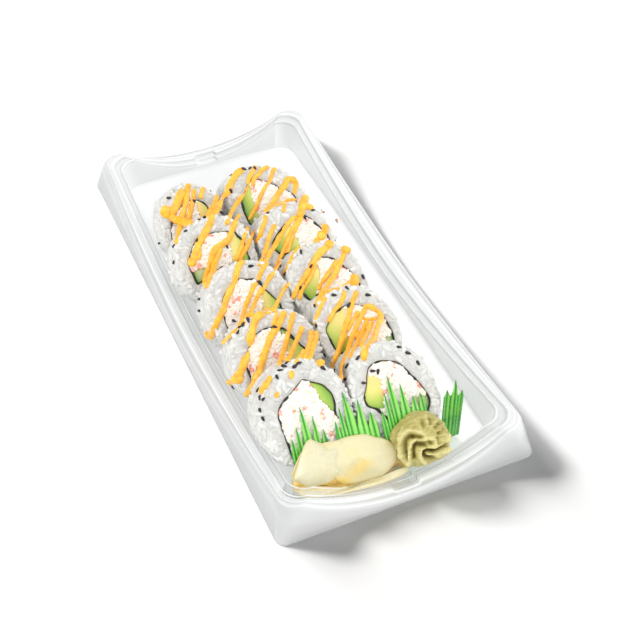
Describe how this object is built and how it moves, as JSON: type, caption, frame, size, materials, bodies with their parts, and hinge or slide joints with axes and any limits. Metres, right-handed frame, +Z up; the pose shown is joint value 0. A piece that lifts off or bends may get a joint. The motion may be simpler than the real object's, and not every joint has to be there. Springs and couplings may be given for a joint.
{
  "type": "takeaway sushi tray",
  "caption": "Shallow moulded plastic takeaway tray holding leaning inside-out sushi rolls drizzled with orange sauce, with plastic grass, pickled ginger and a swirl of wasabi.",
  "frame": {"origin": "on the table, under the middle of the tray's foot", "axes": "+Z up, +Y along the tray's long side towards the empty end, away from the ginger and wasabi, +X to the right seen from the ginger's end"},
  "size_m": [0.112, 0.24, 0.0441],
  "materials": {
    "tray": "thin thermoformed clear plastic, milky over a white table, glossy",
    "rice": "moist cooked rice grains, with orange sauce and black sesame on most rolls",
    "nori": "damp dark green seaweed sheet",
    "crab": "shredded cream-white crab stick with pink flecks",
    "avocado": "smooth, pale yellow inside to green at the skin side",
    "cucumber": "moist, pale green inside to dark green at the skin",
    "grass": "thin glossy green plastic film with dark printed ribs",
    "ginger": "wet translucent pale yellow slices",
    "wasabi": "soft olive green paste with piped ridges"
  },
  "bodies": {
    "root": {"tray": "tray", "rice_left_1": "rice", "nori_left_1": "nori", "crab_left_1": "crab", "avocado_left_1": "avocado", "rice_left_2": "rice", "nori_left_2": "nori", "crab_left_2": "crab", "avocado_left_2": "avocado", "cucumber_left_2": "cucumber", "rice_left_3": "rice", "nori_left_3": "nori", "crab_left_3": "crab", "avocado_left_3": "avocado", "rice_left_4": "rice", "nori_left_4": "nori", "crab_left_4": "crab", "avocado_left_4": "avocado", "cucumber_left_4": "cucumber", "rice_left_5": "rice", "nori_left_5": "nori", "crab_left_5": "crab", "avocado_left_5": "avocado", "rice_right_1": "rice", "nori_right_1": "nori", "crab_right_1": "crab", "avocado_right_1": "avocado", "rice_right_2": "rice", "nori_right_2": "nori", "crab_right_2": "crab", "avocado_right_2": "avocado", "rice_right_3": "rice", "nori_right_3": "nori", "crab_right_3": "crab", "avocado_right_3": "avocado", "rice_right_4": "rice", "nori_right_4": "nori", "crab_right_4": "crab", "avocado_right_4": "avocado", "cucumber_right_4": "cucumber", "rice_right_5": "rice", "nori_right_5": "nori", "crab_right_5": "crab", "avocado_right_5": "avocado", "cucumber_right_5": "cucumber", "grass_left": "grass", "grass_middle": "grass", "grass_right": "grass", "grass_end": "grass", "ginger": "ginger", "wasabi": "wasabi"}
  },
  "joints": []
}
